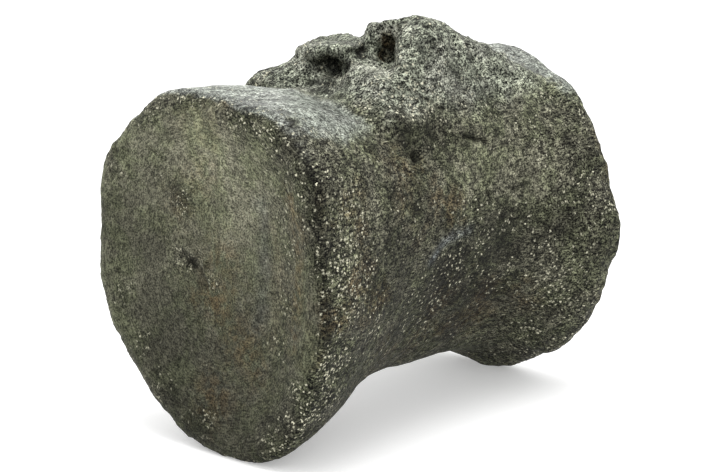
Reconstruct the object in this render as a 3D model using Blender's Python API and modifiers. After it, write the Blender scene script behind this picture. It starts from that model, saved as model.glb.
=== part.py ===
"""Fossil tail vertebra of a sauropod dinosaur, broken off above the neural canal.

One bone, so one solid. The spool-shaped centrum lies along X and rests on the
flared lower edges of its two ends, as it stood in the ground. The end at -X is
the one that shows its whole articular face. +Z is up, and the floor is z = 0.
"""

import math

import bmesh
import bpy
import numpy as np
from mathutils import Matrix, Vector

MM = 0.001

# Driving dimensions of the centrum.
LENGTH = 170 * MM
AXIS_HEIGHT = 70 * MM
WAIST_X = 8 * MM
FRONT_FLARE_POWER = 1.25
REAR_FLARE_POWER = 1.6
BELLY_LAG = 2.6
LIP_LENGTH = 4 * MM
LIP_DROP = 7 * MM
FACE_DISH = 6 * MM
MARGIN_GROOVE = 1.3 * MM
GROOVE_SHARE = 0.6
GROOVE_WIDTH = 0.07
WEAR_FADE = 5

# Moves the finished bone so that its bounding box is centred on the Z axis.
CENTRING = (-0.1 * MM, 2.2 * MM, 0)

# Radii about the centrum's axis, in mm, every 22.5 degrees from +Y over the top.
FRONT_RIM = (60, 64, 66.5, 66.5, 65.8, 67.8, 69.5, 61, 58.7, 60.5, 66.5, 73.5, 71.7, 65.5, 61.8, 62.5)
REAR_RIM = (61, 61, 63, 65.5, 66.5, 66.5, 65.5, 64, 65.5, 66, 68.5, 68.5, 70.8, 69, 66, 62)
WAIST = (46, 50, 54, 56, 57.5, 58, 57, 52, 47, 44.5, 45.5, 52, 57, 52, 46, 45)

# Waves in each rim's radius: how many go round and their height in mm, and the
# number that draws where they start at each end.
RIM_WAVES = ((5, 0.5), (9, 0.5), (14, 0.45), (23, 0.35), (37, 0.25))
RIM_DRAWS = {-1: 11, 1: 23}

# Chips out of the rims: end, angle in degrees, width in degrees, depth in mm.
RIM_CHIPS = (
    (-1, 43, 5, 1.2),
    (-1, 272, 6, 2.5),
    (-1, 302, 7, 1.5),
    (-1, 96, 9, 1.2),
    (1, 112, 5, 1.5),
    (1, 168, 6, 1.5),
    (1, 20, 9, 3.0),
    (1, 322, 7, 2.5),
)

# The two pedicles of the neural arch, broken off short. For each station along X:
# the crest's distance from the mid-plane and height, the same of the bulge that
# overhangs the flank, and the inner wall's distance, all in mm.
NEAR_PEDICLE = (
    (-44, 30, 119, 36, 106, 12),
    (-34, 26, 130, 42, 108, 10),
    (-22, 24, 140, 43, 109, 9),
    (-10, 23, 147, 43, 109, 8),
    (1, 22, 153.5, 43, 109, 8),
    (11, 21, 156.5, 43.5, 108, 9),
    (20, 20, 154, 44, 107, 7),
    (34, 21, 147, 44.5, 106, 7),
    (50, 22, 140, 46, 105, 8),
    (64, 24, 134, 48, 104, 10),
    (76, 28, 127, 48, 103, 14),
)
FAR_PEDICLE = (
    (-36, 24, 126, 36, 106, 12),
    (-26, 20, 131, 41, 107, 9),
    (-18, 17, 138, 43, 108, 7),
    (-8, 16, 144, 44, 108, 6),
    (4, 16, 145.5, 45, 108, 6),
    (16, 17, 143, 45, 107, 6),
    (30, 19, 141, 45, 106, 7),
    (46, 22, 136, 46, 105, 9),
    (60, 26, 130, 46, 104, 12),
    (70, 30, 122, 46, 103, 15),
)

# The pedicle's section, in mm: the foot's height and how far it lies inside the
# bulge, the flank's swell between bulge and crest, and offsets from the crest.
PEDICLE_FOOT_Z = 96
FOOT_INSET = 12
FLANK_BULGE_SHARE = 0.55
FLANK_SWELL = (3, 4)
CREST_OUTSIDE = (6, -2)
CREST_INSIDE = (-5, 0)
INNER_CORNER = (3, -5)
RING_POINTS = 48

# Rounded masses that join the arch: centre and radii in mm, turn about Y in degrees.
ARCH_LUMPS = (
    ("far_shoulder", (-20, 25, 126), (16, 11, 9), 0),
    ("far_block", (-5, 15, 139), (13, 10, 7), 0),
    ("far_tip", (5, 17, 138), (16, 10, 9), 0),
    ("near_tip", (6, -15.5, 153), (3, 3.5, 4.2), 0),
    ("process_base", (-16, -33, 119), (20, 11, 8), 12),
    ("process_root", (26, -34.5, 110.5), (34, 11, 8), 8),
)

# Angular masses that join the arch: the four corners of the bottom, then of the top,
# each with its own height, in mm.
ARCH_BLOCKS = (
    (
        "canal_floor",
        ((-21, 9, 122), (-22, -12, 122), (30, -12, 122), (30, 12, 122)),
        ((-21, 9, 134), (-22, -11, 134.5), (30, -10, 132), (30, 10, 132)),
    ),
    (
        "canal_roof",
        ((-19, 12.5, 134), (-20, -13.4, 137), (4, -12, 134), (6, 13, 134)),
        ((-20, 12, 145), (-20, -13, 146.5), (3, -11, 147.5), (3, 12.5, 147)),
    ),
    (
        "spine_stump",
        ((-10.5, -12, 138), (-3, -12, 138), (16, -9, 136), (2, 0, 136)),
        ((-9.5, -11.5, 156), (6, -13.5, 157), (18, -12, 153), (3, -1, 152)),
    ),
)

# Hollows cut back into the arch and the flank, given as the rounded masses are.
HOLLOWS = (
    ("canal_mouth", (-22.5, -1, 137), (9.5, 10.5, 3.5), 0),
    ("canal_corner", (-22, 4, 135.8), (6, 3, 3.4), 0),
    ("niche", (-13, -13.5, 145), (5.5, 5, 5), 0),
    ("process_hollow", (-16, -47.5, 113), (11, 6, 4.5), 30),
    ("foramen", (-19, -44, 108), (2.6, 6, 2.2), 0),
    ("suture_slit", (15, -47, 110.5), (8, 4, 1.8), 4),
    ("flank_pit", (20, -46, 89), (2.5, 4, 2), 0),
    ("face_pit", (-82, 6, 72), (6, 5, 3.5), 0),
)
SPHEROID_STEPS = 3

# Pieces broken out of the arch, given as the angular masses are. The ledge is where
# the front of the near pedicle broke off below a low cliff, and the crevice parts the
# stump of the spine from the rest of that pedicle.
ARCH_BREAKS = (
    (
        "ledge",
        ((3.6, -13.4, 137.1), (-27.6, -41.5, 136.6), (-60, -41.5, 143.4), (-34, -13.4, 145)),
        ((5.8, -15.9, 175), (-25.4, -44, 175), (-60, -44, 175), (-34, -13.4, 175)),
    ),
    (
        "crevice",
        ((3.6, -14.5, 136), (-6.5, -14.5, 138), (0.5, -9, 136.5), (8, -10, 136)),
        ((4.2, -15.8, 154), (1.8, -14, 154), (5.5, -11.5, 154), (8, -12.5, 154)),
    ),
)

# The neural canal, open at the top where the spine is lost.
CANAL_Y = 1 * MM
CANAL_X = 25 * MM
CANAL_Z = 137.5 * MM
CANAL_RADIUS = 3.8 * MM
CANAL_LENGTH = 90 * MM
CANAL_SIDES = 32

# Relief of the arch's broken surfaces: where along X and above what height it
# reaches its full depth, and how far before that it begins.
BROKEN_FRONT = -40 * MM
BROKEN_REAR = 62 * MM
BROKEN_FOOT = 124 * MM
BROKEN_FADE = 14 * MM
BROKEN_DEPTH = 3.2 * MM
BROKEN_SIZE = 9 * MM

# What lies below the floor is cut away, which leaves a small flat under each end.
FLOOR_WIDTH = 400 * MM
FLOOR_DEPTH = 40 * MM

AROUND = 160
ALONG_SIDE = 72
ALONG_LIP = 7
ALONG_FACE = 20

VOXEL = 1.6 * MM
SMOOTH_SHARE = 0.5
SMOOTH_STEPS = 4
SWELL_HEIGHT = 2.0 * MM
SWELL_SIZE = 22 * MM
NOISE_LAYERS = 2
NO_SHIFT = 0.5
TRIANGLE_SHARE = 0.115


def periodic_curve(values, angles):
    """A smooth closed curve through evenly spaced values, read at angles in radians."""
    values = np.asarray(values, float)
    spectrum = np.fft.rfft(values) / len(values)
    total = np.full(np.shape(angles), spectrum[0].real)
    for k in range(1, len(spectrum)):
        share = 1 if 2 * k == len(values) else 2
        total += share * (spectrum[k] * np.exp(1j * k * angles)).real
    return total


def flare(t, power):
    """How far the section has widened from the waist to the rim, from 0 to 1."""
    return math.sin(0.5 * math.pi * min(abs(t), 1)) ** (2 * power)


def rim_wear(angles, end):
    """Small scallops and chips in a rim's radius, in metres, for the end at -X or +X."""
    draw = np.random.default_rng(RIM_DRAWS[end])
    wear = np.zeros_like(angles)
    for waves, height in RIM_WAVES:
        wear += height * np.sin(waves * angles + draw.uniform(0, 2 * np.pi))
    for side, centre, width, depth in RIM_CHIPS:
        if side == end:
            off = (np.degrees(angles) - centre + 180) % 360 - 180
            wear -= depth * np.exp(-((off / width) ** 2))
    return wear * MM


def centrum_rings():
    """Rings of points from the middle of the front face, over the side, to the rear's."""
    angles = np.linspace(0, 2 * np.pi, AROUND, endpoint=False)
    waist = periodic_curve(WAIST, angles) * MM
    rims = {
        -1: periodic_curve(FRONT_RIM, angles) * MM,
        1: periodic_curve(REAR_RIM, angles) * MM,
    }
    wear = {side: rim_wear(angles, side) for side in rims}
    below = np.clip(-np.sin(angles), 0, 1) ** 2
    powers = {-1: FRONT_FLARE_POWER, 1: REAR_FLARE_POWER * (1 + BELLY_LAG * below)}
    half = LENGTH / 2
    rings = []

    def add(x, radius):
        rings.append(
            np.stack(
                [
                    np.broadcast_to(x, angles.shape),
                    radius * np.cos(angles),
                    AXIS_HEIGHT + radius * np.sin(angles),
                ],
                axis=-1,
            )
        )

    def end(side):
        """The dished face and the rounded lip, from the middle outwards."""
        made = []
        margin = rims[side] - LIP_DROP
        towards_near_side = np.clip(-np.cos(angles), 0, 1) ** 2 if side < 0 else 0
        for share in np.linspace(0, 1, ALONG_FACE, endpoint=False)[1:]:
            groove = MARGIN_GROOVE * math.exp(-(((share - GROOVE_SHARE) / GROOVE_WIDTH) ** 2))
            depth = FACE_DISH * (1 - share**3) + groove * towards_near_side
            made.append((side * (half - depth), margin * share))
        for turn in np.linspace(0, 0.5 * math.pi, ALONG_LIP, endpoint=False):
            worn = margin + (LIP_DROP + wear[side]) * math.sin(turn)
            made.append((side * (half - LIP_LENGTH * (1 - math.cos(turn))), worn))
        return made

    for x, radius in end(-1):
        add(x, radius)
    for x in np.linspace(-half + LIP_LENGTH, half - LIP_LENGTH, ALONG_SIDE):
        side = -1 if x < WAIST_X else 1
        t = (x - WAIST_X) / (side * (half - LIP_LENGTH) - WAIST_X)
        radius = waist + (rims[side] - waist) * flare(t, powers[side])
        add(x, radius + wear[side] * abs(t) ** WEAR_FADE)
    for x, radius in reversed(end(1)):
        add(x, radius)
    return np.array(rings)


def mesh_from_rings(name, rings, collection):
    """A closed mesh skinned over rings of equal point counts, with a fan at each end."""
    bm = bmesh.new()
    rows = [[bm.verts.new(point) for point in ring] for ring in rings]
    count = len(rows[0])
    for row, after in zip(rows, rows[1:]):
        for i in range(count):
            j = (i + 1) % count
            bm.faces.new((row[i], row[j], after[j], after[i]))
    for row, turned in ((rows[0], True), (rows[-1], False)):
        middle = bm.verts.new(np.mean([vert.co for vert in row], axis=0))
        for i in range(count):
            j = (i + 1) % count
            corners = (row[j], row[i], middle) if turned else (row[i], row[j], middle)
            bm.faces.new(corners)
    bmesh.ops.recalc_face_normals(bm, faces=bm.faces)
    mesh = bpy.data.meshes.new(name)
    bm.to_mesh(mesh)
    bm.free()
    made = bpy.data.objects.new(name, mesh)
    collection.objects.link(made)
    return made


def pedicle_rings(stations, side):
    """Sections of one broken pedicle, which leans in from the flank to its crest."""
    angles = np.linspace(0, 2 * np.pi, RING_POINTS, endpoint=False)
    rings = []
    for x, crest_y, crest_z, bulge_y, bulge_z, inner_y in stations:
        flank_y = FLANK_BULGE_SHARE * bulge_y + (1 - FLANK_BULGE_SHARE) * crest_y
        outline = (
            (inner_y, PEDICLE_FOOT_Z),
            (bulge_y - FOOT_INSET, PEDICLE_FOOT_Z),
            (bulge_y, bulge_z),
            (flank_y + FLANK_SWELL[0], 0.5 * (bulge_z + crest_z) + FLANK_SWELL[1]),
            (crest_y + CREST_OUTSIDE[0], crest_z + CREST_OUTSIDE[1]),
            (crest_y + CREST_INSIDE[0], crest_z + CREST_INSIDE[1]),
            (inner_y + INNER_CORNER[0], crest_z + INNER_CORNER[1]),
            (inner_y, 0.5 * (PEDICLE_FOOT_Z + crest_z)),
        )
        y, z = (periodic_curve(column, angles) for column in zip(*outline))
        rings.append(np.stack([np.full_like(y, x), side * y, z], axis=-1) * MM)
    return np.array(rings)


def keep_in(collection, name):
    """Names the object just made and moves it to a collection."""
    made = bpy.context.object
    made.name = name
    for other in made.users_collection:
        other.objects.unlink(made)
    collection.objects.link(made)
    return made


def spheroid(name, centre, radii, turn, collection):
    """A small ellipsoid, with centre and radii in mm and its turn about Y in degrees."""
    bpy.ops.mesh.primitive_ico_sphere_add(subdivisions=SPHEROID_STEPS, radius=1)
    made = keep_in(collection, name)
    made.location = Vector(centre) * MM
    made.scale = Vector(radii) * MM
    made.rotation_euler = (0, math.radians(turn), 0)


def canal(collection):
    bpy.ops.mesh.primitive_cylinder_add(vertices=CANAL_SIDES, radius=CANAL_RADIUS, depth=CANAL_LENGTH)
    made = keep_in(collection, "canal")
    made.location = (CANAL_X, CANAL_Y, CANAL_Z)
    made.rotation_euler = (0, math.pi / 2, 0)


def floor_block(collection):
    bpy.ops.mesh.primitive_cube_add(size=1)
    made = keep_in(collection, "floor")
    made.location = (0, 0, -FLOOR_DEPTH / 2)
    made.scale = (FLOOR_WIDTH, FLOOR_WIDTH, FLOOR_DEPTH)


def settle(piece):
    """Applies a piece's modifiers."""
    bpy.context.view_layer.update()
    evaluated = piece.evaluated_get(bpy.context.evaluated_depsgraph_get())
    mesh = bpy.data.meshes.new_from_object(evaluated)
    piece.modifiers.clear()
    piece.data = mesh


def combine(target, operation, pieces):
    """Joins a collection's pieces to the target or cuts them out, then removes them."""
    for piece in pieces.objects:
        piece.hide_render = True
        piece.display_type = "WIRE"
    modifier = target.modifiers.new(operation.lower(), "BOOLEAN")
    modifier.operation = operation
    modifier.operand_type = "COLLECTION"
    modifier.collection = pieces
    modifier.solver = "EXACT"
    settle(target)
    for piece in list(pieces.objects):
        bpy.data.objects.remove(piece, do_unlink=True)
    bpy.data.collections.remove(pieces)


def broken_share(point):
    """How far a point belongs to the arch's broken surfaces, from 0 to 1."""
    reach = min(point.x - BROKEN_FRONT, BROKEN_REAR - point.x, point.z - BROKEN_FOOT)
    return min(max(1 + reach / BROKEN_FADE, 0), 1)


def roughen(bone, name, kind, size, depth, group=""):
    """Moves the surface in and out by a cloudy texture, in one group or everywhere."""
    texture = bpy.data.textures.new(name, "CLOUDS")
    texture.noise_type = kind
    texture.noise_scale = size
    texture.noise_depth = NOISE_LAYERS
    displace = bone.modifiers.new(name, "DISPLACE")
    displace.texture = texture
    displace.strength = depth
    displace.mid_level = NO_SHIFT
    displace.vertex_group = group


def wear_down(bone):
    """Evens out the mesh, rounds its edges as wear does and adds swells and breaks."""
    remesh = bone.modifiers.new("even_skin", "REMESH")
    remesh.mode = "VOXEL"
    remesh.voxel_size = VOXEL
    smooth = bone.modifiers.new("worn", "SMOOTH")
    smooth.factor = SMOOTH_SHARE
    smooth.iterations = SMOOTH_STEPS
    settle(bone)
    broken = bone.vertex_groups.new(name="broken")
    for vertex in bone.data.vertices:
        broken.add([vertex.index], broken_share(vertex.co), "REPLACE")
    roughen(bone, "swells", "SOFT_NOISE", SWELL_SIZE, SWELL_HEIGHT)
    roughen(bone, "breaks", "HARD_NOISE", BROKEN_SIZE, BROKEN_DEPTH, broken.name)
    decimate = bone.modifiers.new("fewer_triangles", "DECIMATE")
    decimate.ratio = TRIANGLE_SHARE
    settle(bone)


def keep_largest_surface(bone):
    """Fills sealed hollows and drops loose scraps: only the outer surface stays."""
    bm = bmesh.new()
    bm.from_mesh(bone.data)
    unseen = set(bm.verts)
    surfaces = []
    while unseen:
        front = [unseen.pop()]
        surface = list(front)
        while front:
            vert = front.pop()
            for edge in vert.link_edges:
                other = edge.other_vert(vert)
                if other in unseen:
                    unseen.remove(other)
                    front.append(other)
                    surface.append(other)
        surfaces.append(surface)
    largest = max(surfaces, key=len)
    for surface in surfaces:
        if surface is not largest:
            bmesh.ops.delete(bm, geom=surface, context="VERTS")
    bm.to_mesh(bone.data)
    bm.free()


def bone_material():
    material = bpy.data.materials.new("fossil_bone")
    material.use_nodes = True
    shader = material.node_tree.nodes["Principled BSDF"]
    shader.inputs["Base Color"].default_value = (0.075, 0.075, 0.058, 1)
    shader.inputs["Roughness"].default_value = 0.55
    shader.inputs["Metallic"].default_value = 0
    return material


def new_collection(name):
    made = bpy.data.collections.new(name)
    bpy.context.scene.collection.children.link(made)
    return made


def main():
    for old in list(bpy.data.objects):
        bpy.data.objects.remove(old, do_unlink=True)
    parts = new_collection("sauropod_tail_vertebra")
    masses = new_collection("arch_masses")
    hollows = new_collection("hollow_cutters")

    vertebra = mesh_from_rings("vertebra", centrum_rings(), parts)
    mesh_from_rings("near_pedicle", pedicle_rings(NEAR_PEDICLE, -1), masses)
    mesh_from_rings("far_pedicle", pedicle_rings(FAR_PEDICLE, 1), masses)
    for name, centre, radii, turn in ARCH_LUMPS:
        spheroid(name, centre, radii, turn, masses)
    for name, centre, radii, turn in HOLLOWS:
        spheroid(name, centre, radii, turn, hollows)
    canal(hollows)
    for name, bottom, top in ARCH_BLOCKS:
        mesh_from_rings(name, np.array((bottom, top)) * MM, masses)
    for name, bottom, top in ARCH_BREAKS:
        mesh_from_rings(name, np.array((bottom, top)) * MM, hollows)

    combine(vertebra, "UNION", masses)
    combine(vertebra, "DIFFERENCE", hollows)
    wear_down(vertebra)
    vertebra.data.transform(Matrix.Translation(CENTRING))
    below_floor = new_collection("floor_cutter")
    floor_block(below_floor)
    combine(vertebra, "DIFFERENCE", below_floor)
    keep_largest_surface(vertebra)
    vertebra.data.materials.clear()
    vertebra.data.materials.append(bone_material())
    vertebra.data.shade_smooth()


main()
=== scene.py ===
"""Looks of a fossil sauropod tail vertebra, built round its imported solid.

The bone is one piece. Its skin is a fine copy of the solid, worn and pitted in
numpy and coloured by node textures. Landmarks are named by the pixel of the
photograph that shows them and are laid on the surface that the camera meets.
Lengths on the skin are in mm. The camera, the lights and the nodes use metres.
"""

import math

import bpy
import numpy as np
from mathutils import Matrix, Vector
from mathutils.bvhtree import BVHTree

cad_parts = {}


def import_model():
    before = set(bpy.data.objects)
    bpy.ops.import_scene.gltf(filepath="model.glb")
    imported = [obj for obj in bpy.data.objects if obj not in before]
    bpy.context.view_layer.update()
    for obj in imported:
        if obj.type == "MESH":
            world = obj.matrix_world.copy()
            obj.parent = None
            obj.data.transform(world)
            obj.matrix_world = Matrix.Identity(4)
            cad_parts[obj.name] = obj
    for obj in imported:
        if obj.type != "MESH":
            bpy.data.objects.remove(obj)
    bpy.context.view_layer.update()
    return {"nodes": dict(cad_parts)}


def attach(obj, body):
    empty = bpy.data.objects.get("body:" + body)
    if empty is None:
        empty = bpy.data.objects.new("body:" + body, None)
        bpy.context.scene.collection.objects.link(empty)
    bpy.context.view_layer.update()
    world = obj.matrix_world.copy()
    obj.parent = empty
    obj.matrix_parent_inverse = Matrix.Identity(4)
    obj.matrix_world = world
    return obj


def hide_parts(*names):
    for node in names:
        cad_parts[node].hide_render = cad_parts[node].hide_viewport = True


MM = 0.001

# The photograph's camera, found by fitting the bone's proportions.
PHOTO_WIDTH = 708
PHOTO_HEIGHT = 472
AZIMUTH = math.radians(-48)
ELEVATION = math.radians(12.5)
DISTANCE = 0.901
PIXELS_PER_RADIAN = 2305
ORBIT_CENTRE = Vector((0.0001, 0.0014, 0.0765))
ORBIT_CENTRE_PIXEL = (362, 216)
SENSOR_WIDTH = 36
CLIP_START = 0.05

# The studio: a dome, brightest up and behind the bone, whose brightness falls to the
# room's as the cosine to its axis falls through a range, a soft box overhead, and a
# paper floor that glows a little.
DOME_AXIS = (0.54, 0.48, 0.69)
DOME_BRIGHTNESS = 1.5
ROOM_BRIGHTNESS = 0.8
DOME_FADE = (-0.3, 0.8)
SOFT_BOX_PLACE = Vector((-0.05, -0.03, 0.5))
SOFT_BOX_SIZE = 0.3
SOFT_BOX_POWER = 1.5
FLOOR_SIZE = 12
FLOOR_GLOW = 0.3
PAPER_COLOUR = (0.86, 0.86, 0.86, 1)
PAPER_ROUGHNESS = 0.9
WHITE = (1, 1, 1, 1)

# The fine skin, and how the rims are measured round the centrum's axis: how far in
# from the end, in how many steps of angle and evened over how many of them. A search
# for the nearest thing starts from far away.
SKIN_VOXEL = 1.16 * MM
SKIN_SMOOTHING = 6
SMOOTHING_SHARE = 0.5
AXIS_HEIGHT = 70
RIM_DEPTH = 14
RIM_STEPS = 90
RIM_EVENING = 5
FAR_AWAY = 999.0

# The kinds of surface: the range of a normal's part, or of a place, over which each
# one sets in, how far a rim and its collar reach, and how ragged the borders are.
FACE_NORMAL = (0.7, 0.93)
FACE_START = (70, 76)
RIM_REACH = 9
COLLAR_REACH = 22
ARCH_FRONT = (-42, -28)
ARCH_REAR = (58, 74)
ARCH_FOOT = (116, 128)
TOP_NORMAL = (0.5, 0.8)
TOP_START = (116, 124)
ARCH_END_RAGGED = 3
ARCH_FOOT_RAGGED = 2.5
TOP_RAGGED = 2
TOP_NORMAL_RAGGED = 0.16

# How random values are drawn: a whole-number hash of a cell and a seed, seeds that
# differ from octave to octave and within a facet, and octaves that grow lower.
HASH_X = 374761393
HASH_Y = 668265263
HASH_Z = 1440662683
HASH_SEED = 1274126177
HASH_MIX = 2246822519
WORD = 0xFFFFFFFF
HALF_WORD = 0xFFFF
OCTAVE_SEEDS = 17
SLOPE_SEEDS = 7
LEVEL_SEED = 13
OCTAVE_FADE = 0.55

# Noises on the skin: size of the largest swells, octaves and seed. The last two say
# how far a noise moves the borders of spots and bands, as a share of the distance.
SPOT_BORDER = (7, 3, 71)
BAND_BORDER = (8, 3, 53)
ZONE_BORDER = (7, 3, 61)
SWELLS = (18, 2, 1)
LUMPS = (4, 3, 2)
GRAINS = (2.0, 1, 3)
BITES = (4, 3, 4)
BLOTCHES = (26, 3, 91)
MOTTLE = (7, 3, 29)
STAINS = (30, 3, 12)
SCATTER = (16, 3, 77)
SPOT_RAGGED = 0.35
BAND_RAGGED = 0.45

# The relief's heights, what each kind of surface adds to it, and the range of the
# noise over which the rims are bitten.
SWELL_HEIGHT = 0.35
LUMP_HEIGHT = 0.35
GRAIN_HEIGHT = 0.28
GRAIN_EVERYWHERE = 0.25
BITE_DEPTH = 0.5
BITE_RANGE = (0.45, 1.1)
COARSE_EVERYWHERE = 0.2
COARSE_BY_ZONE = {"rim": 0.15, "collar": 0.3, "arch": 0.8}
COARSE_LOST_ON_FACE = 0.6
COARSE_LOST_ON_TOP = 0.5
CHIP_SIZE = 6
CHIP_SEED = 31
CHIP_EVERYWHERE = 0.1
CHIP_BY_ZONE = {"arch": 0.5, "rim": 0.1}
STROKE_WAVE_SIZE = 4
STROKE_WAVE_SEED = 5
STROKE_RAGGED = 0.5

# How light the ground is: at the floor, what height adds as painted light from above,
# what the rear adds, what the end faces add as more painted light, the arch's own tone,
# the top's tone as a painted sheen, and how far blotches and mottling move it.
TONE_AT_FLOOR = 0.4
PAINTED_LIGHT_BY_HEIGHT = 0.3
PAINTED_LIGHT_HEIGHTS = (-10, 125)
TONE_BY_REAR = 0.12
REAR_START = (20, 75)
PAINTED_LIGHT_ON_FACE = 0.05
PAINTED_LIGHT_ON_FACE_BY_HEIGHT = 0.35
TONE_ON_ARCH = 1.15
PAINTED_SHEEN_ON_TOP = 1.75
BLOTCH_DEPTH = 0.12
MOTTLE_BY_ZONE = {"end_face": 0.16, "arch": 0.3, "flank": 0.34, "top": 0.2}
FLANK_SHADE = 0.25
TAN_LIGHTENS = 0.35
DARK_AND_SHADE_DARKENS = 0.75

# A painted share lies between 0 and 1, so the tone is stored small and raised again
# in the material, to a little less than it was.
TONE_STORED = 0.37
TONE_RAISED = 2.5

# Stains beyond the named spots, and the bluish cast of the top and the arch.
STAIN_STRENGTH = 0.65
STAIN_RANGE = (0.2, 0.9)
STAIN_LOST_ON_FACE = 0.8
COOL_ON_TOP = 0.7
COOL_ON_ARCH = 0.45

# Grit, the harsh contrast of open spongy bone, the cream grains in it, which also
# serve as painted glints, and the range of depths over which its pits are painted
# black as shade.
GRIT_EVERYWHERE = 0.75
GRIT_ON_COLLAR_AND_ARCH = 0.25
GRIT_LOST_ON_FACE = 0.9
GRIT_LOST_ON_TOP = 0.6
GRIT_LOST_WHERE_SMOOTH = 0.6
GRIT_OF_DARK = 0.9
GRIT_OF_CREAM = 0.7
SCATTER_RANGE = (-0.1, 0.8)
SCATTER_BEHIND_RIM = 0.55
SCATTER_BY_ZONE = {"arch": 0.25, "flank": 0.3}
BEHIND_RIM = 12
BEHIND_RIM_REACH = 9
CREAM_LOST_IN_DARK = 0.5
CREAM_OF_DARK = 0.4
PIT_SHADE_DEPTHS = (0.3, 1.6)

# How the fibres lie, in units of their own: units to a radian round the axis, and on
# the side also to a mm along it and outwards.
FACE_FIBRE_AROUND = 13.5
SIDE_FIBRE_AROUND = 50
SIDE_FIBRE_ALONG = 0.28
SIDE_FIBRE_OUT = 0.5

# Colours of the ground, its stains, the grains, which also serve as painted glints,
# the gaps between them, and the black of pits, which is painted shade.
OLIVE = (0.095, 0.100, 0.062, 1)
GREY_OLIVE = (0.106, 0.104, 0.074, 1)
TAN = (0.120, 0.110, 0.074, 1)
COOL_GREY = (0.092, 0.100, 0.096, 1)
RUST = (0.116, 0.084, 0.044, 1)
DULL_GRAIN = (0.14, 0.14, 0.10, 1)
IVORY = (0.74, 0.71, 0.54, 1)
GAP_BLACK = (0.006, 0.006, 0.005, 1)
PIT_SHADE_BLACK = (0.004, 0.004, 0.003, 1)

# The material's noises: size, detail, roughness and distortion, as far as they are set.
# The fibres' size is in their own units.
DRIFT_NOISE = (14 * MM, 4, 0.6)
RUST_NOISE = (4 * MM, 4)
SPECKLE_NOISE = (0.62 * MM, 2, 0.55)
SOFT_NOISE = (1.1 * MM, 2, 0.55)
FIBRE_NOISE = (0.65, 2, 0.55, 0.4)
CLUSTER_NOISE = (2.6 * MM, 3, 0.65)
MATT_NOISE = (2.0 * MM, 3)
SHEEN_NOISE = (1.6 * MM, 3)

# The material's ranges: low, high, and where it isn't 0 to 1 what they become.
DRIFT_RANGE = (0.4, 0.6)
RUST_RANGE = (0.35, 0.6)
CALM_CONTRAST = (0.37, 0.63, 0.36, 1.72)
HARSH_CONTRAST = (0.41, 0.64, 0.0, 3.4)
CLUSTERS_ON_SIDE = (0.34, 0.66, 0.42, 1.68)
CLUSTERS_ON_FACE = (0.34, 0.66, 0.7, 1.3)
GRAIN_CHOICE = (0.91, 1.08)
GRAINS_BY_GRIT = (0.0, 0.6, 0.3, 1.0)
GRAIN_EDGE = (0.25, 0.6, 1.0, 0.0)
GAP_EDGE = (0.3, 0.55)
IVORY_RANGE = (0.42, 0.6)
MATT_ROUGHNESS = (0.3, 0.7, 0.5, 0.7)
SHEEN_ROUGHNESS = (0.35, 0.65, 0.25, 0.5)

# The material's shares, its grains, its bump and its one specular level, which is low
# because mineral-filled bone reflects less than polished stone.
SPECKLE_SHARE = 0.6
FIBRE_SHARE = 0.4
FIBRE_LOST_IN_GLOSS = 0.7
CREAM_FAVOURS_GRAIN = 0.55
GAP_STRENGTH = 0.8
PIT_SHADE_STRENGTH = 0.85
GRAIN_SIZE = 1.15 * MM
CRUMPLE_REACH = 0.8 * MM
CRUMPLE_SIZE = 0.9 * MM
BUMP_OF_FINE = 0.7
BUMP_OF_CLUSTERS = 0.5
BUMP_HEIGHT = 0.9 * MM
SPECULAR_LEVEL = 0.07

# The crevice beside the stump of the spine, painted dark as shade and tinted brown.
CREVICE = ((385, 38), (387, 48), (381, 58))

# Dents pressed into the skin: pixel, radius and depth in mm.
DENTS = (
    ((417, 156), 2.0, 3.4),
    ((408, 138), 5.0, 1.2),
    ((432, 128), 6.0, 1.4),
    ((356, 151), 2.5, 0.9),
    ((489, 192), 1.5, 1.4),
    ((515, 188), 1.7, 1.6),
    ((505, 190), 1.0, 0.8),
    ((194, 262), 4.5, 1.0),
    ((184, 246), 3.5, 1.0),
    ((153, 150), 1.5, 0.7),
    ((126, 152), 1.6, 0.9),
    ((114, 152), 1.4, 0.8),
    ((360, 50), 2.5, 2.0),
    ((440, 108), 2.5, 0.7),
    ((575, 285), 2.0, 0.6),
    ((545, 300), 2.2, 0.6),
)

# Raised edges and cut lines on the skin: pixels, half width and height in mm.
STROKES = (
    (((465, 136), (475, 139), (486, 141)), 1.0, -2.0),
    (((462, 141), (480, 144), (497, 145)), 0.9, 0.6),
    (((494, 139), (505, 147), (522, 149), (530, 141)), 0.8, 0.6),
    (((522, 147), (545, 143), (566, 141)), 0.9, 0.4),
    (((352, 62), (368, 62), (388, 66)), 2.0, 0.9),
    (((322, 80), (336, 81), (350, 79)), 1.3, 0.9),
    (((175, 241), (190, 250), (204, 260), (211, 280)), 1.4, 1.3),
    (((174, 250), (188, 262), (200, 270), (205, 284)), 1.4, -0.8),
    (((150, 146), (160, 156), (170, 164)), 1.1, -0.6),
    (((152, 150), (172, 165), (190, 187), (204, 214)), 1.2, 0.35),
    (((425, 98), (437, 106), (452, 110)), 0.9, -0.8),
    (((262, 215), (265, 250), (263, 290), (257, 335)), 2.6, -0.5),
)
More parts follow.
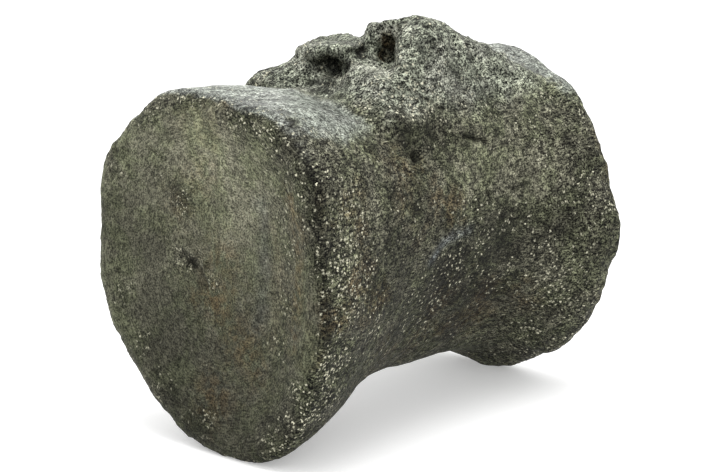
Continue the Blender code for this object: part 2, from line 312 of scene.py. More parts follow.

# Bands of tint that follow a line: pixels, half width in mm and strength.
# Dark bands: in part painted shade in the crevice, the niche, under the canal's lip, on the
# shaded front of the block and along cracks; in part darker bone round the rim.
DARK_AND_SHADE_BANDS = (
    (((140, 120), (160, 106), (190, 99), (222, 99), (252, 106)), 3.6, 0.65),
    (((236, 112), (262, 122), (283, 140), (298, 166), (306, 192)), 10, 0.8),
    (((300, 150), (311, 180), (317, 220), (321, 262)), 5.0, 0.9),
    (((321, 262), (325, 300), (326, 345)), 3.0, 0.85),
    (((309, 58), (328, 62), (348, 64)), 3.2, 0.4),
    (CREVICE, 2.0, 0.85),
    (((310, 84), (322, 84), (335, 83)), 1.3, 0.8),
    (((358, 46), (361, 52), (362, 58)), 2.4, 0.8),
    (((186, 252), (199, 260), (207, 273), (208, 288)), 1.6, 0.4),
    (((150, 166), (172, 186), (192, 206)), 3.6, 0.3),
    (((150, 147), (160, 156), (170, 164)), 0.8, 0.5),
    (((111, 148), (116, 152), (123, 151)), 0.8, 0.6),
    (((110, 170), (115, 172), (121, 171)), 0.7, 0.5),
)
COOL_BANDS = (
    (((262, 205), (265, 250), (263, 290), (256, 340)), 3.4, 0.3),
    (((431, 262), (441, 246), (452, 236)), 2.6, 1.0),
    (((450, 238), (470, 230)), 3.0, 0.8),
)
TAN_BANDS = (
    (((273, 228), (280, 262), (279, 300), (272, 345)), 3.4, 0.5),
    (((325, 77), (336, 77), (346, 76)), 1.4, 1.0),
)
BROWN_BANDS = (
    (((290, 195), (298, 240), (299, 290), (292, 350)), 3.4, 0.55),
    (CREVICE, 2.6, 0.9),
    (((415, 245), (428, 225), (440, 210)), 3.0, 0.3),
)

# Patches of tint: pixel, radius in mm and strength.
BROWN_SPOTS = (
    ((180, 208), 9, 0.35),
    ((200, 180), 9, 0.25),
    ((222, 262), 9, 0.5),
    ((214, 300), 9, 0.9),
    ((243, 348), 10, 0.7),
    ((215, 396), 9, 0.8),
    ((256, 372), 8, 0.5),
    ((345, 205), 5, 0.5),
    ((402, 172), 9, 0.6),
    ((405, 200), 8, 0.5),
    ((358, 282), 5, 1.0),
    ((332, 228), 3, 0.5),
    ((437, 302), 9, 0.9),
    ((420, 335), 10, 0.5),
    ((478, 318), 10, 0.5),
    ((526, 300), 6, 0.5),
)
# Lit and pale patches: in part painted highlights and sheen on the smooth grey bone and painted
# light on the arch's top facets, ledge and one hollow, in part paler bone.
LIT_AND_PALE_SPOTS = (
    ((215, 150), 20, 0.5),
    ((240, 190), 18, 0.45),
    ((228, 225), 16, 0.35),
    ((178, 255), 2.4, 1.3),
    ((187, 262), 2.0, 1.2),
    ((212, 278), 2.4, 0.9),
    ((153, 152), 1.6, 0.8),
    ((166, 163), 1.4, 0.8),
    ((345, 225), 7, 0.35),
    ((345, 245), 8, 0.9),
    ((434, 256), 2.6, 0.9),
    ((445, 242), 3.0, 0.9),
    ((460, 234), 3.0, 0.6),
    ((356, 205), 5, 0.4),
    ((430, 122), 5, 0.7),
    ((538, 100), 8, 0.6),
    ((505, 182), 12, 0.8),
    ((372, 215), 13, 0.45),
    ((322, 195), 6, 0.5),
    ((168, 235), 13, 0.25),
    ((125, 320), 12, 0.25),
    ((175, 385), 12, 0.2),
    ((345, 262), 8, 0.9),
    ((340, 280), 7, 0.6),
    ((272, 118), 6, 0.8),
    ((300, 122), 6, 0.6),
    ((475, 165), 14, 1.0),
    ((510, 160), 14, 1.1),
    ((535, 185), 13, 1.0),
    ((425, 100), 9, 0.5),
    ((395, 88), 10, 0.35),
    ((318, 48), 3.5, 0.8),
    ((335, 49), 4, 0.9),
    ((319, 71), 2.4, 0.9),
    ((364, 66), 4, 0.7),
    ((378, 68), 4, 0.7),
    ((400, 76), 7, 0.4),
    ((505, 146), 4, 0.5),
    ((545, 275), 8, 0.4),
    ((572, 262), 8, 0.3),
)
SHADE_SPOTS = (
    ((319, 71), 1.0, 0.9),
    ((120, 220), 14, 0.35),
    ((150, 235), 14, 0.35),
    ((165, 330), 20, 0.3),
    ((470, 290), 18, 0.55),
    ((500, 240), 16, 0.55),
    ((450, 275), 14, 0.65),
    ((400, 250), 14, 0.35),
    ((385, 290), 12, 0.3),
    ((395, 335), 12, 0.3),
    ((435, 300), 14, 0.55),
    ((340, 53), 4, 0.35),
    ((335, 110), 7, 0.3),
    ((520, 50), 7, 0.3),
    ((316, 62), 3.5, 0.5),
    ((330, 61), 4, 0.6),
    ((344, 62), 4, 0.5),
    ((425, 225), 12, 0.35),
    ((180, 200), 7, 0.35),
    ((112, 160), 4, 0.5),
    ((428, 145), 7, 0.4),
    ((450, 150), 7, 0.35),
    ((405, 128), 6, 0.4),
    ((560, 215), 12, 0.5),
    ((600, 250), 10, 0.4),
    ((585, 160), 10, 0.3),
    ((175, 400), 8, 0.4),
    ((192, 425), 7, 0.5),
    ((350, 330), 8, 0.3),
    ((420, 60), 8, 0.2),
)
# Where cream grains gather; the grains are white mineral and painted glints.
CREAM_SPOTS = (
    ((345, 232), 8, 0.6),
    ((342, 262), 9, 1.0),
    ((347, 290), 8, 0.7),
    ((335, 330), 8, 0.6),
    ((332, 365), 9, 1.0),
    ((330, 395), 9, 1.0),
    ((312, 410), 9, 0.9),
    ((293, 425), 9, 0.7),
    ((270, 440), 8, 0.4),
    ((400, 95), 9, 0.5),
    ((425, 110), 8, 0.5),
    ((590, 185), 7, 0.5),
    ((552, 275), 9, 0.5),
    ((560, 300), 9, 0.5),
    ((575, 262), 8, 0.4),
    ((530, 330), 8, 0.4),
    ((205, 421), 5, 0.5),
    ((345, 205), 8, 0.7),
    ((360, 235), 8, 0.6),
    ((365, 270), 8, 0.4),
    ((355, 310), 8, 0.6),
    ((465, 215), 7, 0.3),
    ((505, 275), 8, 0.3),
    ((410, 92), 8, 0.5),
    ((180, 256), 4.5, 0.9),
    ((190, 262), 3.5, 0.9),
    ((182, 204), 7, 0.6),
    ((284, 215), 7, 0.45),
    ((290, 255), 7, 0.5),
    ((288, 300), 7, 0.5),
    ((280, 345), 7, 0.4),
    ((125, 290), 7, 0.35),
    ((140, 340), 7, 0.35),
    ((165, 390), 7, 0.4),
    ((118, 165), 5, 0.35),
    ((212, 282), 4, 0.6),
    ((280, 150), 7, 0.4),
    ((262, 128), 5, 0.4),
)
SMOOTH_SPOTS = (
    ((475, 165), 12, 0.9),
    ((505, 170), 12, 0.9),
    ((530, 185), 10, 0.8),
    ((460, 190), 8, 0.5),
    ((500, 240), 10, 0.6),
    ((262, 100), 10, 0.7),
    ((300, 95), 12, 0.8),
    ((258, 260), 6, 0.8),
    ((445, 85), 9, 0.8),
    ((370, 70), 5, 0.9),
    ((322, 90), 8, 0.6),
    ((420, 45), 7, 0.5),
    ((330, 58), 6, 0.8),
    ((480, 90), 9, 0.5),
    ((530, 110), 8, 0.5),
)


def camera_frame():
    """The photo camera's place and its right, up and backward directions."""
    back = Vector(
        (
            math.sin(AZIMUTH) * math.cos(ELEVATION),
            -math.cos(AZIMUTH) * math.cos(ELEVATION),
            math.sin(ELEVATION),
        )
    )
    right = Vector((math.cos(AZIMUTH), math.sin(AZIMUTH), 0))
    up = back.cross(right)
    return ORBIT_CENTRE + back * DISTANCE, right, up, back


def pixel_direction(pixel):
    """The direction in which the photo camera sees a pixel."""
    _, right, up, back = camera_frame()
    across = (pixel[0] - ORBIT_CENTRE_PIXEL[0]) / PIXELS_PER_RADIAN
    down = (pixel[1] - ORBIT_CENTRE_PIXEL[1]) / PIXELS_PER_RADIAN
    return (right * across - up * down - back).normalized()


def lattice(cells, seed):
    """A random value from 0 to 1 for each whole-numbered cell, by integer hashing."""
    mixed = cells[..., 0] * HASH_X + cells[..., 1] * HASH_Y
    mixed = (mixed + cells[..., 2] * HASH_Z + seed * HASH_SEED) & WORD
    mixed = ((mixed ^ (mixed >> 13)) * HASH_SEED) & WORD
    mixed = ((mixed ^ (mixed >> 16)) * HASH_MIX) & WORD
    return ((mixed >> 8) & HALF_WORD) / HALF_WORD


def lattice_vector(cells, seed):
    """Three random values from 0 to 1 for each cell."""
    return np.stack([lattice(cells, seed + k) for k in range(3)], axis=1)


def soft_noise(points, size, seed):
    """Smooth noise from -1 to 1 with swells of about the given size."""
    scaled = points / size
    corner = np.floor(scaled).astype(np.int64)
    inside = scaled - corner
    inside = inside * inside * (3 - 2 * inside)
    total = np.zeros(len(points))
    for step in np.ndindex(2, 2, 2):
        shares = np.where(np.array(step) == 1, inside, 1 - inside)
        total += lattice(corner + np.array(step), seed) * shares.prod(axis=1)
    return 2 * total - 1


def rough_noise(points, size, octaves, seed):
    """Layers of soft noise, each half the size of the last and lower by OCTAVE_FADE."""
    total = np.zeros(len(points))
    weight = 1.0
    for octave in range(octaves):
        total += weight * soft_noise(points, size / 2**octave, seed + OCTAVE_SEEDS * octave)
        weight *= OCTAVE_FADE
    return total


def facets(points, size, seed):
    """Flat tilted facets from about -1 to 1, like a broken face: one plane a cell."""
    scaled = points / size
    corner = np.floor(scaled).astype(np.int64)
    nearest = np.full(len(points), FAR_AWAY)
    height = np.zeros(len(points))
    for step in np.ndindex(3, 3, 3):
        cell = corner + np.array(step) - 1
        spot = lattice_vector(cell, seed)
        slope = lattice_vector(cell, seed + SLOPE_SEEDS) - 0.5
        reach = cell + spot - scaled
        away = np.linalg.norm(reach, axis=1)
        plane = 2 * (reach * slope).sum(axis=1) + lattice(cell, seed + LEVEL_SEED) - 0.5
        height = np.where(away < nearest, plane, height)
        nearest = np.minimum(nearest, away)
    return height


def smoothstep(value, low, high):
    """Eases from 0 to 1 as the value goes from low to high."""
    share = np.clip((value - low) / (high - low), 0, 1)
    return share * share * (3 - 2 * share)


def bell(distance, reach):
    """Falls from 1 at no distance to about a third at the reach."""
    return np.exp(-((distance / reach) ** 2))


class Skin:
    """The fine mesh of the bone, with its points and normals in mm for numpy."""

    def __init__(self, node):
        self.piece = self.fine_copy(node)
        self.camera = camera_frame()[0]
        self.read()
        self.find_rims()

    def fine_copy(self, node):
        """A finely gridded, smoothed copy of the solid, as the piece vertebra_skin."""
        source = node.copy()
        source.data = node.data.copy()
        bpy.context.scene.collection.objects.link(source)
        remesh = source.modifiers.new("fine_grid", "REMESH")
        remesh.mode = "VOXEL"
        remesh.voxel_size = SKIN_VOXEL
        smooth = source.modifiers.new("no_facets", "SMOOTH")
        smooth.factor = SMOOTHING_SHARE
        smooth.iterations = SKIN_SMOOTHING
        evaluated = source.evaluated_get(bpy.context.evaluated_depsgraph_get())
        mesh = bpy.data.meshes.new_from_object(evaluated)
        bpy.data.objects.remove(source, do_unlink=True)
        piece = bpy.data.objects.new("vertebra_skin", mesh)
        bpy.context.scene.collection.objects.link(piece)
        for polygon in mesh.polygons:
            polygon.use_smooth = True
        return piece

    def read(self):
        """Takes the points, normals and search tree from the mesh as it is now."""
        mesh = self.piece.data
        points = np.empty(len(mesh.vertices) * 3)
        mesh.vertices.foreach_get("co", points)
        self.points = points.reshape(-1, 3) / MM
        normals = np.empty(len(mesh.vertices) * 3)
        mesh.vertex_normals.foreach_get("vector", normals)
        self.normals = normals.reshape(-1, 3)
        self.tree = BVHTree.FromPolygons(
            [vertex.co for vertex in mesh.vertices],
            [polygon.vertices for polygon in mesh.polygons],
        )

    def find_rims(self):
        """Measures each rim's radius by angle, and each point's distance to its edge."""
        x, y, z = self.points.T
        self.radius = np.hypot(y, z - AXIS_HEIGHT)
        angle = np.arctan2(z - AXIS_HEIGHT, y)
        step = ((angle + np.pi) / (2 * np.pi) * RIM_STEPS).astype(int) % RIM_STEPS
        overlap = RIM_EVENING // 2
        self.edge = np.full(len(x), FAR_AWAY)
        for side in (-1, 1):
            behind = (x * side).max() - x * side
            near = behind < RIM_DEPTH
            rim = np.array([self.radius[near & (step == k)].max() for k in range(RIM_STEPS)])
            wrapped = np.concatenate([rim[-overlap:], rim, rim[:overlap]])
            rim = np.convolve(wrapped, np.ones(RIM_EVENING) / RIM_EVENING, "valid")
            self.edge = np.minimum(self.edge, np.hypot(behind, rim[step] - self.radius))

    def place(self, pixel):
        """The point in mm of the skin that the photo camera sees at a pixel."""
        spot, _, _, _ = self.tree.ray_cast(self.camera, pixel_direction(pixel))
        return np.array(spot) / MM

    def push(self, height):
        """Moves every point along its normal by a height in mm, but none below the floor."""
        self.points = self.points + self.normals * height[:, None]
        self.points[:, 2] = np.maximum(self.points[:, 2], 0)
        self.piece.data.vertices.foreach_set("co", (self.points * MM).ravel())
        self.piece.data.update()
        self.read()

    def spot_distance(self, pixel):
        """Each point's distance in mm to the spot laid on the skin at a pixel."""
        return np.linalg.norm(self.points - self.place(pixel), axis=1)

    def line_distance(self, pixels):
        """Each point's distance in mm to a line laid on the skin through pixels."""
        corners = [self.place(pixel) for pixel in pixels]
        nearest = np.full(len(self.points), FAR_AWAY)
        for start, stop in zip(corners, corners[1:]):
            run = stop - start
            along = np.clip((self.points - start) @ run / (run @ run), 0, 1)
            gap = self.points - start - along[:, None] * run
            nearest = np.minimum(nearest, np.linalg.norm(gap, axis=1))
        return nearest

    def strongest(self, marks, distance_to, ragged):
        """The strongest of some marks at each point, with ragged borders."""
        total = np.zeros(len(self.points))
        for where, reach, strength in marks:
            away = distance_to(where) * ragged
            total = np.maximum(total, strength * bell(away, reach))
        return total

    def patches(self, spots):
        """The strongest of some soft round patches, with ragged borders."""
        ragged = 1 + SPOT_RAGGED * rough_noise(self.points, *SPOT_BORDER)
        return self.strongest(spots, self.spot_distance, ragged)

    def bands(self, lines):
        """The strongest of some bands that follow lines, with ragged borders."""
        ragged = 1 + BAND_RAGGED * rough_noise(self.points, *BAND_BORDER)
        return self.strongest(lines, self.line_distance, ragged)

    def paint(self, name, values):
        """Stores a share from 0 to 1 for each point under a name."""
        layer = self.piece.data.attributes.new(name, "FLOAT", "POINT")
        layer.data.foreach_set("value", np.clip(values, 0, 1).astype(np.float32))

    def paint_vector(self, name, columns):
        """Stores three numbers for each point under a name."""
        layer = self.piece.data.attributes.new(name, "FLOAT_VECTOR", "POINT")
        layer.data.foreach_set("vector", np.stack(columns, axis=1).astype(np.float32).ravel())


def zones(skin):
    """Shares from 0 to 1 that say which kind of surface each point is."""
    x, _, z = skin.points.T
    normal_x, _, normal_z = skin.normals.T
    face = smoothstep(np.abs(normal_x), *FACE_NORMAL) * smoothstep(np.abs(x), *FACE_START)
    ragged = rough_noise(skin.points, *ZONE_BORDER)
    shifted = x + ARCH_END_RAGGED * ragged
    arch = smoothstep(z + ARCH_FOOT_RAGGED * ragged, *ARCH_FOOT)
    arch = arch * smoothstep(shifted, *ARCH_FRONT) * (1 - smoothstep(shifted, *ARCH_REAR))
    top = smoothstep(normal_z + TOP_NORMAL_RAGGED * ragged, *TOP_NORMAL)
    top = top * smoothstep(z + TOP_RAGGED * ragged, *TOP_START) * (1 - arch)
    return {
        "end_face": face,
        "rim": bell(skin.edge, RIM_REACH),
        "collar": bell(skin.edge, COLLAR_REACH) * (1 - face),
        "arch": arch,
        "top": top,
        "flank": (1 - face) * (1 - arch) * (1 - top),
    }


def by_zone(area, everywhere, weights):
    """A weight that holds everywhere, plus more in some zones."""
    total = everywhere
    for name, weight in weights.items():
        total = total + weight * area[name]
    return total


def wear_away(skin):
    """Gives the smooth copy its landmarks, then the bone's uneven, pitted surface."""
    landmarks = np.zeros(len(skin.points))
    for pixel, radius, depth in DENTS:
        landmarks -= depth * bell(skin.spot_distance(pixel), radius)
    ragged = 1 + STROKE_RAGGED * soft_noise(skin.points, STROKE_WAVE_SIZE, STROKE_WAVE_SEED)
    for pixels, half_width, height in STROKES:
        landmarks += height * bell(skin.line_distance(pixels), half_width) * ragged
    skin.push(landmarks)

    area = zones(skin)
    points = skin.points
    coarse = np.clip(by_zone(area, COARSE_EVERYWHERE, COARSE_BY_ZONE), 0, 1)
    coarse = coarse * (1 - COARSE_LOST_ON_FACE * area["end_face"])
    coarse = coarse * (1 - COARSE_LOST_ON_TOP * area["top"])
    chips = facets(points, CHIP_SIZE, CHIP_SEED) * by_zone(area, CHIP_EVERYWHERE, CHIP_BY_ZONE)
    lumps = LUMP_HEIGHT * rough_noise(points, *LUMPS) * coarse
    grain = GRAIN_HEIGHT * rough_noise(points, *GRAINS) * (GRAIN_EVERYWHERE + coarse)
    bitten = -BITE_DEPTH * smoothstep(rough_noise(points, *BITES), *BITE_RANGE) * area["rim"]
    wear = chips + lumps + grain + bitten
    skin.push(SWELL_HEIGHT * rough_noise(points, *SWELLS) + wear)
    return landmarks + wear


def ground_tone(skin, area, cream, dark_and_shade):
    """How light the ground is at each point, with painted light and shade in it."""
    x, _, z = skin.points.T
    face, arch, top = area["end_face"], area["arch"], area["top"]
    # Painted light from above: the ground is darker low down and lighter high up, the end faces
    # more so.
    height = smoothstep(z, *PAINTED_LIGHT_HEIGHTS)
    tone = TONE_AT_FLOOR + PAINTED_LIGHT_BY_HEIGHT * height
    tone = tone + TONE_BY_REAR * smoothstep(x, *REAR_START)
    tone = tone + face * (PAINTED_LIGHT_ON_FACE + PAINTED_LIGHT_ON_FACE_BY_HEIGHT * height)
    tone = tone * (1 - arch) + TONE_ON_ARCH * arch
    # Up-facing top surfaces are lighter, as a painted sheen.
    tone = tone * (1 - top) + PAINTED_SHEEN_ON_TOP * top
    tone = tone * (1 + BLOTCH_DEPTH * rough_noise(skin.points, *BLOTCHES))
    tone = tone * (1 + by_zone(area, 0, MOTTLE_BY_ZONE) * rough_noise(skin.points, *MOTTLE))
    tone = tone * (1 - FLANK_SHADE * area["flank"] * (1 - cream))
    # Lit and pale patches, in part painted highlights and light.
    tone = tone * (1 + skin.patches(LIT_AND_PALE_SPOTS))
    tone = tone * (1 - skin.patches(SHADE_SPOTS))
    tone = tone * (1 + TAN_LIGHTENS * skin.bands(TAN_BANDS))
    # Dark bands darken the ground, in part as painted shade.
    return tone * (1 - DARK_AND_SHADE_DARKENS * dark_and_shade)


def paint_stains(skin, area):
    """Stores where the ground is brown, tan or bluish."""
    brown = np.maximum(skin.patches(BROWN_SPOTS), skin.bands(BROWN_BANDS))
    hidden = STAIN_STRENGTH * smoothstep(rough_noise(skin.points, *STAINS), *STAIN_RANGE)
    hidden = hidden * (1 - area["top"]) * (1 - STAIN_LOST_ON_FACE * area["end_face"])
    skin.paint("brown", np.maximum(brown, hidden))
    skin.paint("tan", skin.bands(TAN_BANDS))
    cast = np.maximum(COOL_ON_TOP * area["top"], COOL_ON_ARCH * area["arch"])
    skin.paint("cool", np.maximum(skin.bands(COOL_BANDS), cast))


def paint_grain(skin, area, cream, dark_and_shade):
    """Stores how harsh, how creamy and how glossy the surface is."""
    face, top = area["end_face"], area["top"]
    smooth = skin.patches(SMOOTH_SPOTS)
    grit = GRIT_EVERYWHERE + GRIT_ON_COLLAR_AND_ARCH * np.maximum(area["collar"], area["arch"])
    grit = grit * (1 - GRIT_LOST_ON_FACE * face) * (1 - GRIT_LOST_ON_TOP * top)
    grit = grit * (1 - GRIT_LOST_WHERE_SMOOTH * smooth)
    grit_of_marks = np.maximum(GRIT_OF_DARK * dark_and_shade, GRIT_OF_CREAM * cream)
    skin.paint("grit", np.maximum(grit, grit_of_marks))
    scattered = smoothstep(rough_noise(skin.points, *SCATTER), *SCATTER_RANGE)
    behind_rim = bell(skin.edge - BEHIND_RIM, BEHIND_RIM_REACH) * (1 - face)
    scattered = scattered * by_zone(area, SCATTER_BEHIND_RIM * behind_rim, SCATTER_BY_ZONE)
    cream = np.maximum(cream, scattered) * (1 - CREAM_LOST_IN_DARK * dark_and_shade)
    skin.paint("cream", np.maximum(cream, CREAM_OF_DARK * dark_and_shade))
    skin.paint("gloss", np.maximum(smooth, top))


def paint_skin(skin, relief):
    """Stores the shares and the lie of the fibres that the material reads."""
    area = zones(skin)
    cream = skin.patches(CREAM_SPOTS)
    dark_and_shade = skin.bands(DARK_AND_SHADE_BANDS)
    skin.paint("end_face", area["end_face"])
    skin.paint("tone", TONE_STORED * ground_tone(skin, area, cream, dark_and_shade))
    # Points sunk deep into the relief are painted black, as shade in pits and dents.
    skin.paint("pit_shade", smoothstep(-relief, *PIT_SHADE_DEPTHS))
    paint_stains(skin, area)
    paint_grain(skin, area, cream, dark_and_shade)

    x, y, z = skin.points.T
    turn = np.arctan2(y, AXIS_HEIGHT - z)
    skin.paint_vector("face_lie", (skin.radius, turn * FACE_FIBRE_AROUND, x))
    side_lie = (x * SIDE_FIBRE_ALONG, turn * SIDE_FIBRE_AROUND, skin.radius * SIDE_FIBRE_OUT)
    skin.paint_vector("side_lie", side_lie)


class Nodes:
    """Short names for the shader nodes that the bone's material uses."""

    def __init__(self, material):
        material.use_nodes = True
        self.tree = material.node_tree
        self.shader = self.tree.nodes["Principled BSDF"]
        self.place = self.tree.nodes.new("ShaderNodeTexCoord").outputs["Object"]

    def link(self, value, socket):
        """Links a socket to another one, or sets it to a plain value."""
        if isinstance(value, bpy.types.NodeSocket):
            self.tree.links.new(value, socket)
        else:
            socket.default_value = value

    def attribute(self, name, output="Fac"):
        """What was painted on the skin under a name."""
        made = self.tree.nodes.new("ShaderNodeAttribute")
        made.attribute_name = name
        return made.outputs[output]

    def noise(self, size, detail=3, roughness=0.6, distortion=0.0, place=None):
        """Noise with features of about the given size, in the units of its place."""
        made = self.tree.nodes.new("ShaderNodeTexNoise")
        self.link(place or self.place, made.inputs["Vector"])
        made.inputs["Scale"].default_value = 1 / size
        made.inputs["Detail"].default_value = detail
        made.inputs["Roughness"].default_value = roughness
        made.inputs["Distortion"].default_value = distortion
        return made.outputs["Fac"]

    def crumpled(self, reach, size):
        """The place moved about by up to a reach, so that cells lose their even shape."""
        made = self.tree.nodes.new("ShaderNodeTexNoise")
        self.link(self.place, made.inputs["Vector"])
        made.inputs["Scale"].default_value = 1 / size
        shift = self.tree.nodes.new("ShaderNodeVectorMath")
        shift.operation = "MULTIPLY_ADD"
        self.link(made.outputs["Color"], shift.inputs[0])
        shift.inputs[1].default_value = (2 * reach, 2 * reach, 2 * reach)
        self.link(self.place, shift.inputs[2])
        return shift.outputs["Vector"]

    def grains(self, size, place):
        """Distance from each point to the middle of its grain, and the grain's draw."""
        made = self.tree.nodes.new("ShaderNodeTexVoronoi")
        self.link(place, made.inputs["Vector"])
        made.inputs["Scale"].default_value = 1 / size
        parted = self.tree.nodes.new("ShaderNodeSeparateColor")
        self.link(made.outputs["Color"], parted.inputs["Color"])
        return made.outputs["Distance"], parted.outputs["Red"]

    def between(self, value, low, high, start=0.0, stop=1.0):
        """Eases from start to stop as the value goes from low to high."""
        made = self.tree.nodes.new("ShaderNodeMapRange")
        made.interpolation_type = "SMOOTHSTEP"
        for name, number in (("Value", value), ("From Min", low), ("From Max", high)):
            self.link(number, made.inputs[name])
        self.link(start, made.inputs["To Min"])
        self.link(stop, made.inputs["To Max"])
        return made.outputs["Result"]

    def sum(self, first, second, operation="ADD"):
        """The sum of two values, or the result of another operation on them."""
        made = self.tree.nodes.new("ShaderNodeMath")
        made.operation = operation
        self.link(first, made.inputs[0])
        self.link(second, made.inputs[1])
        return made.outputs["Value"]

    def times(self, first, second):
        """The product of two values."""
        return self.sum(first, second, "MULTIPLY")

    def blend(self, share, first, second, mode="MIX"):
        """The first colour or value, turned into the second by a share."""
        made = self.tree.nodes.new("ShaderNodeMix")
        made.data_type = "RGBA"
        made.blend_type = mode
        self.link(share, made.inputs["Factor"])
        self.link(first, made.inputs["A"])
        self.link(second, made.inputs["B"])
        return made.outputs["Result"]

    def tinted(self, colour, factor):
        """A colour multiplied by a factor."""
        return self.blend(1.0, colour, factor, "MULTIPLY")

    def bump(self, height, distance):
        """The surface's normal, tilted by a height."""
        made = self.tree.nodes.new("ShaderNodeBump")
        made.inputs["Distance"].default_value = distance
        self.link(height, made.inputs["Height"])
        return made.outputs["Normal"]


def stained_ground(nodes):
    """The ground's colour with its tan, bluish and brown stains."""
    drift = nodes.between(nodes.noise(*DRIFT_NOISE), *DRIFT_RANGE)
    ground = nodes.blend(drift, OLIVE, GREY_OLIVE)
    ground = nodes.blend(nodes.attribute("tan"), ground, TAN)
    ground = nodes.blend(nodes.attribute("cool"), ground, COOL_GREY)
    mottled = nodes.between(nodes.noise(*RUST_NOISE), *RUST_RANGE)
    return nodes.blend(nodes.times(nodes.attribute("brown"), mottled), ground, RUST)


def fine_pattern(nodes, face, gloss):
    """Specks mixed with fibres that follow the bone's form, less so where it is glossy."""
    on_face = nodes.noise(*FIBRE_NOISE, nodes.attribute("face_lie", "Vector"))
    on_side = nodes.noise(*FIBRE_NOISE, nodes.attribute("side_lie", "Vector"))
    fibre = nodes.blend(face, on_side, on_face)
    fibre = nodes.blend(nodes.times(gloss, FIBRE_LOST_IN_GLOSS), fibre, nodes.noise(*SOFT_NOISE))
    speckle = nodes.noise(*SPECKLE_NOISE)
    return nodes.sum(nodes.times(speckle, SPECKLE_SHARE), nodes.times(fibre, FIBRE_SHARE))


def with_contrast(nodes, ground, fine, clusters, grit, face):
    """The ground broken up by the fine pattern and by clusters, in its painted tone."""
    calm = nodes.between(fine, *CALM_CONTRAST)
    harsh = nodes.between(fine, *HARSH_CONTRAST)
    ground = nodes.tinted(ground, nodes.blend(grit, calm, harsh))
    on_side = nodes.between(clusters, *CLUSTERS_ON_SIDE)
    on_face = nodes.between(clusters, *CLUSTERS_ON_FACE)
    ground = nodes.tinted(ground, nodes.blend(face, on_side, on_face))
    return nodes.tinted(ground, nodes.times(nodes.attribute("tone"), TONE_RAISED))


def with_grains_and_glints(nodes, ground, fine, grit):
    """The ground with ivory grains, which also serve as painted glints, black gaps between them
    and black pits of painted shade.
    """
    cream = nodes.attribute("cream")
    crumpled = nodes.crumpled(CRUMPLE_REACH, CRUMPLE_SIZE)
    distance, draw = nodes.grains(GRAIN_SIZE, crumpled)
    favoured = nodes.sum(draw, nodes.times(cream, CREAM_FAVOURS_GRAIN))
    chosen = nodes.between(favoured, *GRAIN_CHOICE)
    chosen = nodes.times(chosen, nodes.between(grit, *GRAINS_BY_GRIT))
    grain = nodes.times(chosen, nodes.between(distance, *GRAIN_EDGE))
    gap = nodes.times(nodes.times(cream, GAP_STRENGTH), nodes.between(distance, *GAP_EDGE))
    ground = nodes.blend(gap, ground, GAP_BLACK)
    ivory = nodes.blend(nodes.between(fine, *IVORY_RANGE), DULL_GRAIN, IVORY)
    ground = nodes.blend(grain, ground, ivory)
    return nodes.blend(nodes.times(nodes.attribute("pit_shade"), PIT_SHADE_STRENGTH), ground, PIT_SHADE_BLACK)


def bone_material():
    """Dark mineral-filled bone: olive-grey ground, brown stains, cream grains that are also
    painted glints, and black grains and pits, the pits painted black as shade.
    """
    material = bpy.data.materials.new("fossil_bone_skin")
    nodes = Nodes(material)
    grit = nodes.attribute("grit")
    gloss = nodes.attribute("gloss")
    face = nodes.attribute("end_face")
    fine = fine_pattern(nodes, face, gloss)
    clusters = nodes.noise(*CLUSTER_NOISE)
    ground = with_contrast(nodes, stained_ground(nodes), fine, clusters, grit, face)
    nodes.link(with_grains_and_glints(nodes, ground, fine, grit), nodes.shader.inputs["Base Color"])

    matt = nodes.between(nodes.noise(*MATT_NOISE), *MATT_ROUGHNESS)
    sheen = nodes.between(nodes.noise(*SHEEN_NOISE), *SHEEN_ROUGHNESS)
    matt = nodes.times(matt, nodes.sum(1.0, gloss, "SUBTRACT"))
    roughness = nodes.sum(matt, nodes.times(sheen, gloss))
    nodes.link(roughness, nodes.shader.inputs["Roughness"])
    nodes.shader.inputs["Specular IOR Level"].default_value = SPECULAR_LEVEL
    relief = nodes.sum(nodes.times(fine, BUMP_OF_FINE), nodes.times(clusters, BUMP_OF_CLUSTERS))
    nodes.link(nodes.bump(relief, BUMP_HEIGHT), nodes.shader.inputs["Normal"])
    return material


def paper_material():
    """White paper that glows a little, so that it stays white beside the bone."""
    material = bpy.data.materials.new("white_paper")
    material.use_nodes = True
    shader = material.node_tree.nodes["Principled BSDF"]
    shader.inputs["Base Color"].default_value = PAPER_COLOUR
    shader.inputs["Roughness"].default_value = PAPER_ROUGHNESS
    shader.inputs["Emission Color"].default_value = WHITE
    shader.inputs["Emission Strength"].default_value = FLOOR_GLOW
    return material


def add_floor():
    """The sheet of paper that the bone lies on."""
    bpy.ops.mesh.primitive_plane_add(size=FLOOR_SIZE)
    floor = bpy.context.object
    floor.name = "floor"
    floor.data.materials.append(paper_material())


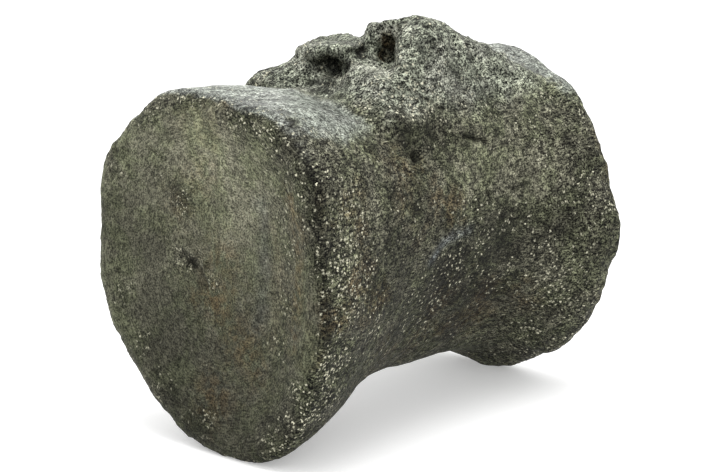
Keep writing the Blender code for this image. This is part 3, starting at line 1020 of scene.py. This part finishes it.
def light_dome():
    """A white world, brightest along the dome's axis."""
    world = bpy.data.worlds.new("studio")
    bpy.context.scene.world = world
    world.use_nodes = True
    tree = world.node_tree
    background = tree.nodes["Background"]
    background.inputs["Color"].default_value = WHITE
    coordinates = tree.nodes.new("ShaderNodeTexCoord")
    towards_axis = tree.nodes.new("ShaderNodeVectorMath")
    towards_axis.operation = "DOT_PRODUCT"
    towards_axis.inputs[1].default_value = DOME_AXIS
    tree.links.new(coordinates.outputs["Generated"], towards_axis.inputs[0])
    fade = tree.nodes.new("ShaderNodeMapRange")
    fade.inputs["From Min"].default_value = DOME_FADE[0]
    fade.inputs["From Max"].default_value = DOME_FADE[1]
    fade.inputs["To Min"].default_value = ROOM_BRIGHTNESS
    fade.inputs["To Max"].default_value = DOME_BRIGHTNESS
    tree.links.new(towards_axis.outputs["Value"], fade.inputs["Value"])
    tree.links.new(fade.outputs["Result"], background.inputs["Strength"])


def add_soft_box():
    """A square lamp that points at the bone."""
    light = bpy.data.lights.new("soft_box", "AREA")
    light.energy = SOFT_BOX_POWER
    light.size = SOFT_BOX_SIZE
    lamp = bpy.data.objects.new("soft_box", light)
    bpy.context.scene.collection.objects.link(lamp)
    lamp.location = SOFT_BOX_PLACE
    aim = ORBIT_CENTRE - SOFT_BOX_PLACE
    lamp.rotation_euler = aim.to_track_quat("-Z", "Y").to_euler()


def add_camera():
    """The photograph's camera, whose orbit centre falls on its own pixel."""
    place, right, up, back = camera_frame()
    camera = bpy.data.cameras.new("photo_camera")
    camera.sensor_width = SENSOR_WIDTH
    camera.lens = SENSOR_WIDTH * PIXELS_PER_RADIAN / PHOTO_WIDTH
    camera.clip_start = CLIP_START
    seen_from = bpy.data.objects.new("photo_camera", camera)
    bpy.context.scene.collection.objects.link(seen_from)
    seen_from.location = place
    across = (PHOTO_WIDTH / 2 - ORBIT_CENTRE_PIXEL[0]) / PIXELS_PER_RADIAN
    down = (PHOTO_HEIGHT / 2 - ORBIT_CENTRE_PIXEL[1]) / PIXELS_PER_RADIAN
    forward = right * across - up * down - back
    seen_from.rotation_euler = forward.to_track_quat("-Z", "Y").to_euler()
    bpy.context.scene.camera = seen_from


def main():
    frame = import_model()
    skin = Skin(frame["nodes"]["vertebra"])
    relief = wear_away(skin)
    paint_skin(skin, relief)
    skin.piece.data.materials.clear()
    skin.piece.data.materials.append(bone_material())
    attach(skin.piece, "root")
    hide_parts("vertebra")
    add_floor()
    light_dome()
    add_soft_box()
    add_camera()
    bpy.context.scene.view_settings.view_transform = "Standard"


main()
